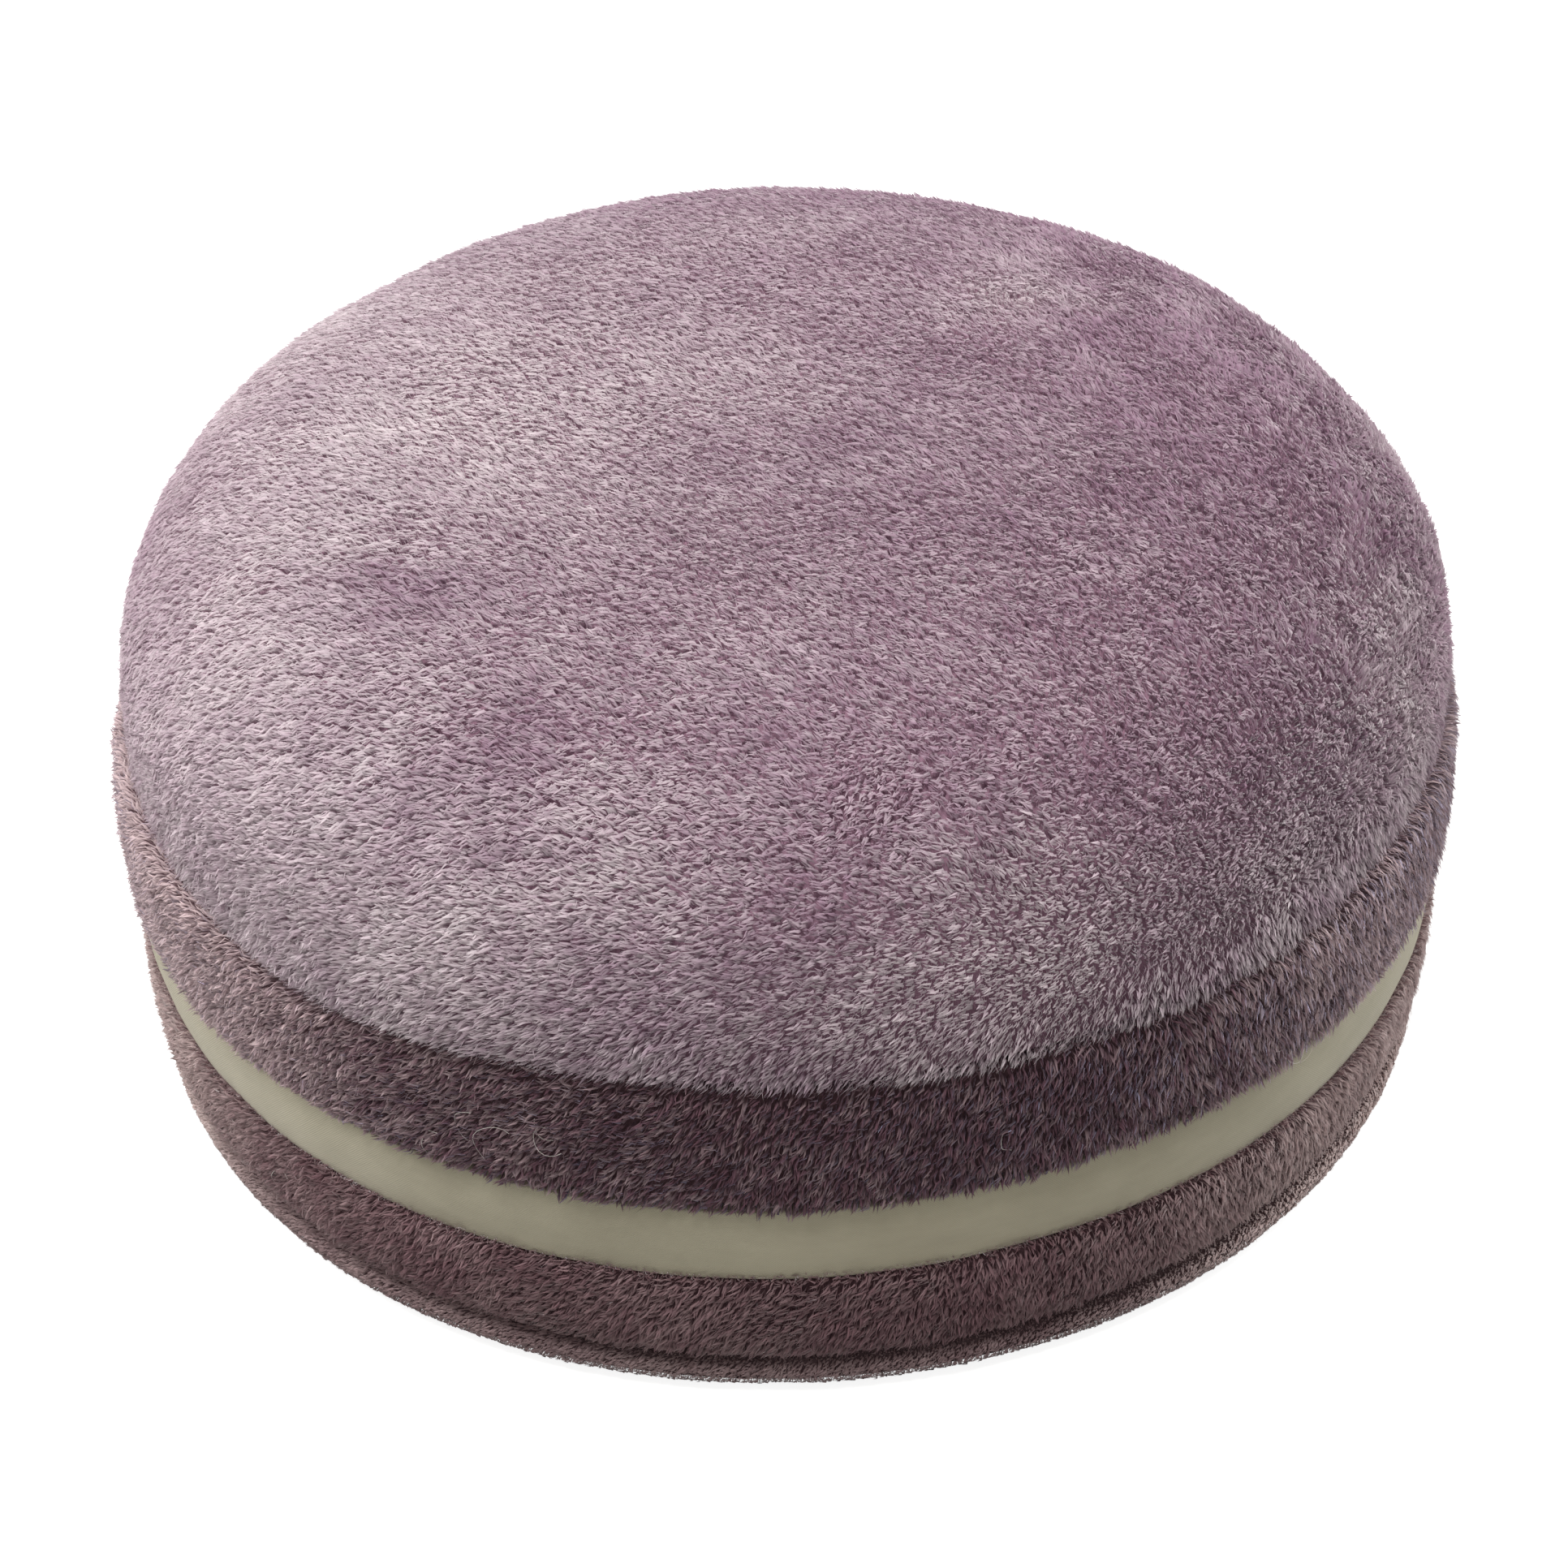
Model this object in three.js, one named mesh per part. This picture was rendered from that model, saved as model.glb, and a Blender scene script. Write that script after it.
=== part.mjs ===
// Round throw pillow, plump and a little uneven, resting on its flat underside.
// A plush disc crowns over the filling, a side wall of plush, cream cloth and
// plush goes round it, and a second plush disc closes it underneath.
// Millimetres, Z up, the front towards -Y. Plush solids reach the pile tips.
import * as THREE from 'three';
import { mergeVertices } from 'three/addons/utils/BufferGeometryUtils.js';

// Overall size, measured to the pile tips.
const RADIUS = 200;
const CROWN_HEIGHT = 186;

// Heights of the four joins in the side wall.
const TOP_SEAM_Z = 100.7;
const BAND_TOP_Z = 65.1;
const BAND_LOW_Z = 40.3;
const LOW_SEAM_Z = 11.5;

// The side wall starts at this radius, round the filling.
const WALL_INSIDE = 187;
// How far in the two sewn creases are drawn.
const TOP_CREASE = 192.6;
const LOW_CREASE = 192.8;
// The flat the pillow rests on.
const FOOT_RADIUS = 186;

// Clearance between neighbouring pieces, and half of it at each join.
const GAP = 0.3;
const HALF = GAP / 2;

// Crown curve: height = rise * (1 - (r / RADIUS) ^ CROWN_POWER) ^ (1 / CROWN_ROUND).
const CROWN_POWER = 5.16;
const CROWN_ROUND = 1.83;
// The crown is widest a little above its seam.
const CROWN_LIP = 4;
const CROWN_STEPS = [0.995, 0.982, 0.96, 0.93, 0.89, 0.84, 0.77, 0.68, 0.56, 0.42, 0.26, 0.11];

// Divisions round the pillow, the same for every piece so the gaps stay even.
const AROUND = 96;

// Slow unevenness of the outline: share of the radius, waves per turn, phase in degrees.
const OUTLINE_WAVES = [
  { share: -0.0032, waves: 1, phase: 0 },
  { share: -0.0114, waves: 2, phase: 0 },
  { share: 0.0038, waves: 3, phase: 25 },
];

// Rise and fall of the seams round the pillow: millimetres at the top seam,
// waves per turn, phase in degrees. It fades to nothing at the foot and the crown.
const SEAM_WAVES = [
  { rise: 3.2, waves: 1, phase: 14 },
  { rise: -5.2, waves: 2, phase: 0 },
  { rise: 0.7, waves: 5, phase: 40 },
  { rise: 0.45, waves: 9, phase: 110 },
];

// Soft hollows and swellings of the crown: millimetres, wave length, heading in degrees, phase.
const CROWN_WAVES = [
  { rise: 0.9, length: 190, heading: 20, phase: 60 },
  { rise: 0.7, length: 140, heading: 105, phase: 200 },
  { rise: 0.4, length: 90, heading: 60, phase: 310 },
];

const DEGREE = Math.PI / 180;

function wave(list, angle, key) {
  return list.reduce((sum, w) => sum + w[key] * Math.cos(w.waves * angle - w.phase * DEGREE), 0);
}

// Share of the seam rise felt at a height: none at the foot, all at the top seam, none at the crown.
function seamShare(z) {
  if (z <= TOP_SEAM_Z) {
    return Math.max(z, 0) / TOP_SEAM_Z;
  }
  return Math.max(0, (CROWN_HEIGHT - z) / (CROWN_HEIGHT - TOP_SEAM_Z));
}

// Share of the crown hollows felt at a radius and height: all on top, none at the seam and below.
function crownShare(z) {
  return THREE.MathUtils.smoothstep(z, TOP_SEAM_Z + 2 * CROWN_LIP, CROWN_HEIGHT - CROWN_LIP);
}

// One warp for every piece, so neighbours keep their clearance.
function settle(point) {
  const angle = Math.atan2(point.y, point.x);
  const widen = 1 + wave(OUTLINE_WAVES, angle, 'share');
  const ripple = CROWN_WAVES.reduce((sum, w) => {
    const along = point.x * Math.cos(w.heading * DEGREE) + point.y * Math.sin(w.heading * DEGREE);
    return sum + w.rise * Math.cos((2 * Math.PI * along) / w.length - w.phase * DEGREE);
  }, 0);
  const lift = wave(SEAM_WAVES, angle, 'rise') * seamShare(point.z) + ripple * crownShare(point.z);
  point.set(point.x * widen, point.y * widen, point.z + lift);
}

function signedVolume(geometry) {
  const at = geometry.getAttribute('position');
  const order = geometry.getIndex();
  const corner = [new THREE.Vector3(), new THREE.Vector3(), new THREE.Vector3()];
  let total = 0;
  for (let i = 0; i < order.count; i += 3) {
    corner.forEach((c, k) => c.fromBufferAttribute(at, order.getX(i + k)));
    total += corner[0].dot(corner[1].clone().cross(corner[2])) / 6;
  }
  return total;
}

function turnOutward(geometry) {
  if (signedVolume(geometry) > 0) {
    return;
  }
  const order = geometry.getIndex();
  for (let i = 0; i < order.count; i += 3) {
    const second = order.getX(i + 1);
    order.setX(i + 1, order.getX(i + 2));
    order.setX(i + 2, second);
  }
}

// Drops the triangles that shrink to a line where a profile meets the axis.
function dropSlivers(geometry) {
  const order = geometry.getIndex();
  const kept = [];
  for (let i = 0; i < order.count; i += 3) {
    const [a, b, c] = [order.getX(i), order.getX(i + 1), order.getX(i + 2)];
    if (a !== b && b !== c && c !== a) {
      kept.push(a, b, c);
    }
  }
  geometry.setIndex(kept);
}

// Turns a table of { r, z } rows round the vertical axis and lets it settle.
function turned(name, rows, material) {
  const outline = rows.map((row) => new THREE.Vector2(row.r, row.z));
  let geometry = new THREE.LatheGeometry(outline, AROUND);
  geometry.rotateX(Math.PI / 2);
  geometry.deleteAttribute('normal');
  geometry.deleteAttribute('uv');
  geometry = mergeVertices(geometry, 1e-3);
  dropSlivers(geometry);
  const at = geometry.getAttribute('position');
  const point = new THREE.Vector3();
  for (let i = 0; i < at.count; i += 1) {
    point.fromBufferAttribute(at, i);
    settle(point);
    at.setXYZ(i, point.x, point.y, point.z);
  }
  turnOutward(geometry);
  geometry.computeVertexNormals();
  const mesh = new THREE.Mesh(geometry, material);
  mesh.name = name;
  return mesh;
}

// A ring's table closes on itself.
function closedRing(rows) {
  return [...rows, rows[0]];
}

function crownRow(share) {
  const widest = TOP_SEAM_Z + CROWN_LIP;
  const rise = (CROWN_HEIGHT - widest) * (1 - share ** CROWN_POWER) ** (1 / CROWN_ROUND);
  return { r: RADIUS * share, z: widest + rise };
}

const topPlush = new THREE.MeshStandardMaterial({ color: 0x9f8995, roughness: 0.95, metalness: 0 });
const upperPlush = new THREE.MeshStandardMaterial({ color: 0x8b7480, roughness: 0.95, metalness: 0 });
const creamCloth = new THREE.MeshStandardMaterial({ color: 0xd6d1bf, roughness: 0.85, metalness: 0 });
const lowerPlush = new THREE.MeshStandardMaterial({ color: 0x8d7680, roughness: 0.95, metalness: 0 });
const underPlush = new THREE.MeshStandardMaterial({ color: 0x86707a, roughness: 0.95, metalness: 0 });

// Top disc of plush, drawn in at its seam, and the filling that holds the side wall out.
const filledCushionRows = [
  { r: 0, z: LOW_SEAM_Z },
  { r: 95, z: LOW_SEAM_Z },
  { r: WALL_INSIDE - GAP, z: LOW_SEAM_Z },
  { r: WALL_INSIDE - GAP, z: BAND_LOW_Z },
  { r: WALL_INSIDE - GAP, z: BAND_TOP_Z },
  { r: WALL_INSIDE - GAP, z: TOP_SEAM_Z + HALF },
  { r: TOP_CREASE, z: TOP_SEAM_Z + HALF },
  { r: 196.3, z: TOP_SEAM_Z + 0.8 },
  { r: 198.9, z: TOP_SEAM_Z + 2 },
  { r: RADIUS, z: TOP_SEAM_Z + CROWN_LIP },
  ...CROWN_STEPS.map(crownRow),
  { r: 0, z: CROWN_HEIGHT },
];

// Plush strip between the top seam and the cream band.
const upperStripRows = [
  { r: WALL_INSIDE, z: BAND_TOP_Z + HALF },
  { r: 197.2, z: BAND_TOP_Z + HALF },
  { r: 198.6, z: BAND_TOP_Z + 1.8 },
  { r: 199.2, z: BAND_TOP_Z + 7 },
  { r: 199.4, z: BAND_TOP_Z + 14 },
  { r: 199.2, z: TOP_SEAM_Z - 14 },
  { r: 198.4, z: TOP_SEAM_Z - 7 },
  { r: 196.4, z: TOP_SEAM_Z - 2.4 },
  { r: TOP_CREASE, z: TOP_SEAM_Z - HALF },
  { r: WALL_INSIDE, z: TOP_SEAM_Z - HALF },
];

// Cream cloth band, smooth, standing a little inside the plush on either side.
const creamBandRows = [
  { r: WALL_INSIDE, z: BAND_LOW_Z + HALF },
  { r: 196.6, z: BAND_LOW_Z + HALF },
  { r: 197.3, z: BAND_LOW_Z + 5 },
  { r: 197.6, z: (BAND_LOW_Z + BAND_TOP_Z) / 2 },
  { r: 197.4, z: BAND_TOP_Z - 5 },
  { r: 196.7, z: BAND_TOP_Z - HALF },
  { r: WALL_INSIDE, z: BAND_TOP_Z - HALF },
];

// Plush strip between the cream band and the bottom seam.
const lowerStripRows = [
  { r: WALL_INSIDE, z: LOW_SEAM_Z + HALF },
  { r: LOW_CREASE, z: LOW_SEAM_Z + HALF },
  { r: 196.4, z: LOW_SEAM_Z + 1.9 },
  { r: 198.4, z: LOW_SEAM_Z + 5.5 },
  { r: 199.2, z: LOW_SEAM_Z + 12 },
  { r: 199, z: BAND_LOW_Z - 7 },
  { r: 198.3, z: BAND_LOW_Z - 1.8 },
  { r: 197, z: BAND_LOW_Z - HALF },
  { r: WALL_INSIDE, z: BAND_LOW_Z - HALF },
];

// Plush disc underneath, pressed flat where it rests, its rim swelling below the seam.
const bottomPanelRows = [
  { r: 0, z: 0 },
  { r: 95, z: 0 },
  { r: FOOT_RADIUS, z: 0 },
  { r: 193.6, z: 1.3 },
  { r: 197.4, z: 4 },
  { r: 197.6, z: 6.4 },
  { r: 195.8, z: 9.2 },
  { r: LOW_CREASE, z: LOW_SEAM_Z - GAP },
  { r: 95, z: LOW_SEAM_Z - GAP },
  { r: 0, z: LOW_SEAM_Z - GAP },
];

const pillow = new THREE.Group();
pillow.name = 'round_throw_pillow';
pillow.add(
  turned('filled_cushion', filledCushionRows, topPlush),
  turned('upper_plush_strip', closedRing(upperStripRows), upperPlush),
  turned('cream_band', closedRing(creamBandRows), creamCloth),
  turned('lower_plush_strip', closedRing(lowerStripRows), lowerPlush),
  turned('bottom_panel', bottomPanelRows, underPlush),
);

export default pillow;
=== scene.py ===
import math
from types import SimpleNamespace

import bpy
import numpy as np
from mathutils import Matrix, Vector


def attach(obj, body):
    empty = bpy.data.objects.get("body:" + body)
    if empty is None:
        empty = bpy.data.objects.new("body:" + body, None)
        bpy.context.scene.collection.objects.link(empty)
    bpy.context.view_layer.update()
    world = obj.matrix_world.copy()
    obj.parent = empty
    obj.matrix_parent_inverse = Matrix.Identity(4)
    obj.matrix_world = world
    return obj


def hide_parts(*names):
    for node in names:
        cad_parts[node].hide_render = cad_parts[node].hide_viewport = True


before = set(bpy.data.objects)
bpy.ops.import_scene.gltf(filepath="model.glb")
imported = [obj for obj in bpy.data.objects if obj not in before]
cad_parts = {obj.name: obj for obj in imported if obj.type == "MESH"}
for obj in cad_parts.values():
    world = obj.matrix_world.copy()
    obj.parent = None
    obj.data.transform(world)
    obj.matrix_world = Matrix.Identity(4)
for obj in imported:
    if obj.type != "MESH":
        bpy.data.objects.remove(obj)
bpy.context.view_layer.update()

# A round throw pillow: a crowned disc of mauve plush, a side wall of plush,
# cream cloth and plush, and a second plush disc underneath.
# Metres, Z up, the front towards -Y.

# Sizes, to the pile tips.
RADIUS = 0.200
CROWN_HEIGHT = 0.186
TOP_SEAM_Z = 0.1007
BAND_TOP_Z = 0.0651
BAND_LOW_Z = 0.0403
LOW_SEAM_Z = 0.0115
FOOT_RADIUS = 0.186
CROWN_POWER = 5.16
CROWN_ROUND = 1.83
CROWN_LIP = 0.004
# The top seam lies above the join of the solids by both of these, and ripples within a spread.
SEAM_ABOVE_JOIN = 0.002
SEAM_RAISED = 0.0035
SEAM_LINE_Z = TOP_SEAM_Z + SEAM_ABOVE_JOIN + SEAM_RAISED
SEAM_RIPPLE = dict(rise=0.0013, waves=5, phase=195, spread=0.02)
# At its left and right ends the crown is drawn in over the seam and the side wall is fuller or
# flatter: how far each, how far below the seam the wall changes most, and over what height.
SHOULDERS = [
    dict(side=-1, drawn_in=0.0044, full=0.0018, below=0.028, spread=0.035),
    dict(side=1, drawn_in=0.0042, full=-0.0006, below=0.004, spread=0.014),
    dict(side=1, drawn_in=0.0, full=-0.0018, below=0.090, spread=0.014),
]
# The shoulders come in between these cosines of the angle and these radii.
SHOULDER_ENDS = (0.50, 0.93)
SHOULDER_SKIN = (0.1880, 0.1930)
# The crown is drawn in from this far above the seam, and less and less over this height.
DRAWN_IN_FROM = 0.001
DRAWN_IN_OVER = 0.020
# The foot spreads a little between the front, the sides and the back.
FOOT_SPREAD = 0.0015
FOOT_SKIN = (0.180, 0.190)
FOOT_TOP = (0.006, 0.014)
# The seams' rise and fall fades out this close to the axis.
CALM_MIDDLE = 0.05
# The side strips are joined end to end at the back.
SIDE_JOIN = math.radians(90)

# Slow unevenness of the outline: share of the radius, waves per turn, phase in degrees.
OUTLINE_WAVES = [
    dict(share=-0.0032, waves=1, phase=0),
    dict(share=-0.0114, waves=2, phase=0),
    dict(share=0.0038, waves=3, phase=25),
]
# Rise and fall of the seams: metres at the top seam, waves per turn, phase in degrees.
SEAM_WAVES = [
    dict(rise=0.0032, waves=1, phase=14),
    dict(rise=-0.0052, waves=2, phase=0),
    dict(rise=0.0007, waves=5, phase=40),
    dict(rise=0.00045, waves=9, phase=110),
]
# Soft hollows and swellings of the crown: metres, wave length, heading and phase in degrees.
CROWN_WAVES = [
    dict(rise=0.0009, length=0.190, heading=20, phase=60),
    dict(rise=0.0007, length=0.140, heading=105, phase=200),
    dict(rise=0.0004, length=0.090, heading=60, phase=310),
]

# Broad areas of painted sheen, light and shade on the top, where the nap was stroked pale or left deep:
# centre, half length and half width, the way the length runs in degrees, and how much paler it is.
NAP_AREAS = [
    dict(x=-0.06, y=-0.01, long=0.08, wide=0.06, heading=0, paler=0.3),
    dict(x=0.00, y=-0.02, long=0.04, wide=0.02, heading=0, paler=-0.3),
    dict(x=0.07, y=0.07, long=0.03, wide=0.02, heading=50, paler=0.4),
    dict(x=0.12, y=0.02, long=0.07, wide=0.04, heading=90, paler=-0.2),
    dict(x=-0.10, y=-0.08, long=0.03, wide=0.02, heading=170, paler=-0.3),
    dict(x=-0.06, y=-0.14, long=0.03, wide=0.02, heading=150, paler=-0.3),
    dict(x=-0.06, y=-0.17, long=0.05, wide=0.02, heading=10, paler=0.4),
    dict(x=0.06, y=-0.18, long=0.05, wide=0.02, heading=20, paler=0.4),
    dict(x=0.13, y=-0.15, long=0.02, wide=0.01, heading=40, paler=0.4),
    dict(x=0.16, y=-0.08, long=0.04, wide=0.02, heading=70, paler=0.3),
]
# Where the nap was pushed round and stands up: centre, reach and turn in degrees.
SWIRLS = [
    dict(x=0.02, y=-0.16, reach=0.020, turn=35),
    dict(x=0.05, y=-0.17, reach=0.02, turn=-20),
    dict(x=0.07, y=0.07, reach=0.020, turn=50),
]


def smoothstep(low, high, value):
    share = np.clip((value - low) / (high - low), 0, 1)
    return share * share * (3 - 2 * share)


def swell(distance, spread):
    """1 in the middle, fading all round."""
    return np.exp(-(distance / spread) ** 2)


def dot(first, second):
    return np.sum(first * second, axis=-1, keepdims=True)


def unit(vectors):
    return vectors / np.maximum(np.linalg.norm(vectors, axis=-1, keepdims=True), 1e-12)


# Repeatable noise over the cloth. Each channel is a pattern of its own.
CELL_FACTORS = (73856093, 19349663, 83492791)
SCRAMBLE = ((13, 1274126177), (16, 2246822519))
WORD, FRACTION = 0xFFFFFFFF, 0xFFFFFF


def cell_value(column, row, channel):
    """A number from 0 to 1 for each whole-numbered cell, the same on every run."""
    across, up, deep = CELL_FACTORS
    key = column.astype(np.int64) * across ^ row.astype(np.int64) * up ^ int(channel) * deep
    for shift, factor in SCRAMBLE:
        key = (key ^ (key >> shift)) * factor & WORD
    return ((key ^ (key >> SCRAMBLE[0][0])) & FRACTION) / float(FRACTION)


def noise(u, v, size, channel):
    """Smooth noise from -1 to 1 with swells of the given size."""
    column, row = np.floor(u / size), np.floor(v / size)
    across, up = smoothstep(0, 1, u / size - column), smoothstep(0, 1, v / size - row)

    def along(line):
        left, right = cell_value(column, line, channel), cell_value(column + 1, line, channel)
        return (1 - across) * left + across * right

    return 2 * ((1 - up) * along(row) + up * along(row + 1)) - 1


def cloudy(u, v, size, channel):
    """Two sizes of smooth noise together."""
    return 0.68 * noise(u, v, size, channel) + 0.32 * noise(u, v, size * 0.43, channel + 1)


# The pillow's slow unevenness, the same for every piece.
def wave(rows, angle, key):
    return sum(row[key] * np.cos(row["waves"] * angle - math.radians(row["phase"])) for row in rows)


def shouldered(radius, angle, height):
    """The radius with the shoulders at the ends, and the spread foot."""
    reach = smoothstep(*SHOULDER_ENDS, np.abs(np.cos(angle))) * smoothstep(*SHOULDER_SKIN, radius)
    above = np.clip(height - SEAM_LINE_Z - DRAWN_IN_FROM, 0, None)
    change = 0
    for row in SHOULDERS:
        crown = -row["drawn_in"] * swell(above, DRAWN_IN_OVER)
        wall = row["full"] * swell(height - SEAM_LINE_Z + row["below"], row["spread"])
        this_end = np.cos(angle) * row["side"] > 0
        change = change + np.where(this_end, np.where(height > SEAM_LINE_Z, crown, wall), 0)
    foot = smoothstep(*FOOT_SKIN, radius) * (1 - smoothstep(*FOOT_TOP, height))
    return radius + reach * change + FOOT_SPREAD * foot * (0.5 - 0.5 * np.cos(4 * angle))


def settled(radius, angle, height):
    """Points of the uneven pillow for a radius, an angle and a height of the even one."""
    radius = shouldered(radius, angle, height)
    widen = 1 + wave(OUTLINE_WAVES, angle, "share")
    x, y = radius * np.cos(angle), radius * np.sin(angle)
    below = np.clip(height, 0, None) / TOP_SEAM_Z
    above = np.clip((CROWN_HEIGHT - height) / (CROWN_HEIGHT - TOP_SEAM_Z), 0, None)
    seam_share = np.where(height <= TOP_SEAM_Z, below, above)
    hollows = 0
    for row in CROWN_WAVES:
        heading, phase = math.radians(row["heading"]), math.radians(row["phase"])
        along = x * math.cos(heading) + y * math.sin(heading)
        hollows = hollows + row["rise"] * np.cos(2 * np.pi * along / row["length"] - phase)
    crown_share = smoothstep(TOP_SEAM_Z + 2 * CROWN_LIP, CROWN_HEIGHT - CROWN_LIP, height)
    lift = wave(SEAM_WAVES, angle, "rise") * seam_share * smoothstep(0, CALM_MIDDLE, radius)
    lift = lift + hollows * crown_share
    ripple = wave([SEAM_RIPPLE], angle, "rise") * swell(height - SEAM_LINE_Z, SEAM_RIPPLE["spread"])
    return np.stack([x * widen, y * widen, height + (lift + ripple)], axis=-1)


# Outlines: radius and height down the side of a piece.
def rounded(rows, steps=4):
    """A smooth line through a short table of (radius, height) rows."""
    rows = np.array(rows, float)
    padded = np.vstack([2 * rows[0] - rows[1], rows, 2 * rows[-1] - rows[-2]])
    line = []
    for i in range(1, len(padded) - 2):
        before, start, end, after = padded[i - 1:i + 3]
        for t in np.arange(steps) / steps:
            line.append(0.5 * (2 * start + (end - before) * t
                               + (2 * before - 5 * start + 4 * end - after) * t ** 2
                               + (3 * start - before - 3 * end + after) * t ** 3))
    line.append(rows[-1])
    return np.array(line)


class Outline:
    """A line of radius and height that is turned round the pillow's axis."""

    AREA_STEPS = 4000

    def __init__(self, line, flat_disc=False):
        self.radius, self.height = np.array(line, float).T
        step = np.hypot(np.diff(self.radius), np.diff(self.height))
        self.run = np.concatenate([[0], np.cumsum(step)])
        # The area turned so far, in fine steps, to spread leaves evenly over it.
        self.area_run = np.linspace(0, self.run[-1], self.AREA_STEPS)
        radius = np.interp(self.area_run, self.run, self.radius)
        middle = (radius[1:] + radius[:-1]) / 2
        self.area = np.concatenate([[0], np.cumsum(np.diff(self.area_run) * middle)]) * 2 * np.pi
        self.flat_disc = flat_disc

    def at(self, run, angle):
        return settled(np.interp(run, self.run, self.radius), angle, np.interp(run, self.run, self.height))

    def frame_at(self, run, angle):
        """Places on the cloth with the way out, the way round and the way down there."""
        step, turn = 0.0006, 0.004
        before, after = np.clip(run - step, 0, None), np.clip(run + step, 0, self.run[-1])
        down = self.at(after, angle) - self.at(before, angle)
        around = self.at(run, angle + turn) - self.at(run, angle - turn)
        out = unit(np.cross(down, around))
        down = unit(down)
        return self.at(run, angle), out, unit(np.cross(out, down)), down

    def cloth_place(self, run, angle):
        """Where a point lies on the flat cut cloth."""
        if self.flat_disc:
            return run * np.cos(angle), run * np.sin(angle)
        return RADIUS * np.mod(angle - SIDE_JOIN, 2 * np.pi), run

    def joined(self, before=(), after=()):
        """The line as rows of radius and height, with more rows before and after it."""
        return np.array([*before, *zip(self.radius, self.height), *after], float)

    def ring(self):
        """A strip's visible face, with its turned-in edges drawn back to the filling."""
        return self.joined(before=[(WALL_INSIDE, self.height[0])], after=[(WALL_INSIDE, self.height[-1])])


def crown_line(sunk, steps=60, crowding=0.75, sideways=1.15):
    """The crown from its middle to its widest, sunk below the pile tips, a little more at the side."""
    share = np.sin(np.linspace(0, math.pi / 2, steps)) ** crowding
    widest = TOP_SEAM_Z + SEAM_RAISED + CROWN_LIP
    rise = (CROWN_HEIGHT - sunk - widest) * (1 - share ** CROWN_POWER) ** (1 / CROWN_ROUND)
    return np.stack([(RADIUS - sideways * sunk) * share, widest + rise], axis=-1)


# The cloth under the pile, from the crown to the foot. Pile stands on these lines.
PILE_DEPTH = 0.0031
CREASE_RADIUS = 0.1878
WALL_INSIDE = 0.1870
FILLING_RADIUS = 0.1866
TOP_FACE = Outline(np.vstack([
    crown_line(PILE_DEPTH),
    rounded([(0.1964, 0.1078), (0.1954, 0.1069), (0.1930, 0.1064), (CREASE_RADIUS, 0.1063)]),
]), flat_disc=True)
UPPER_FACE = Outline(rounded([
    (CREASE_RADIUS, 0.1059), (0.1925, 0.1057), (0.1952, 0.1047), (0.1963, 0.1020),
    (0.1967, 0.0951), (0.1967, 0.0860), (0.1965, 0.0780), (0.1962, 0.0710),
    (0.1959, 0.0675), (0.1942, 0.0659), (0.1900, 0.0656),
]))
BAND_FACE = Outline(rounded([
    (0.1900, 0.0648), (0.1955, 0.0646), (0.1966, 0.0634), (0.1972, 0.0590), (0.1975, 0.0527),
    (0.1972, 0.0465), (0.1965, 0.0420), (0.1953, 0.0408), (0.1900, 0.0406),
]))
LOWER_FACE = Outline(rounded([
    (0.1900, 0.0400), (0.1942, 0.0398), (0.1958, 0.0384), (0.1963, 0.0330), (0.1964, 0.0250),
    (0.1958, 0.0190), (0.1944, 0.0150), (0.1916, 0.0126), (CREASE_RADIUS, 0.0119),
]))
FOOT_FACE = Outline(rounded([
    (CREASE_RADIUS, 0.0110), (0.1918, 0.0107), (0.1947, 0.0093), (0.1957, 0.0066), (0.1950, 0.0036),
    (0.1920, 0.0010), (FOOT_RADIUS, 0.0002),
]))
# The ends of each line, where the cloth turns in, and the widest place of the top.
TOP_RIM_RUN = TOP_FACE.run[np.argmax(TOP_FACE.radius)]
TOP_END, UPPER_END, BAND_END, LOWER_END, FOOT_END = (
    face.run[-1] for face in (TOP_FACE, UPPER_FACE, BAND_FACE, LOWER_FACE, FOOT_FACE))


# Meshes and their marks.
def new_piece(name, data):
    piece = bpy.data.objects.new(name, data)
    bpy.context.scene.collection.objects.link(piece)
    return piece


def write_mark(mesh, name, values):
    mark = mesh.attributes.new(name, "FLOAT", "POINT")
    mark.data.foreach_set("value", np.asarray(values, np.float32))


def write_bake_map(mesh, u, v):
    """The flat cut cloth, with a small margin, as the map that baked colours use."""
    spare, share, margin = 1.02, 0.98, 0.01
    reach = max(np.ptp(u), np.ptp(v)) * spare
    corner = np.empty(len(mesh.loops), np.int32)
    mesh.loops.foreach_get("vertex_index", corner)
    flat = np.stack([(u - u.min()) / reach, (v - v.min()) / reach], axis=-1)[corner] * share + margin
    layer = mesh.uv_layers.new(name="OFBake")
    layer.data.foreach_set("uv", flat.astype(np.float32).reshape(-1))


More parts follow.
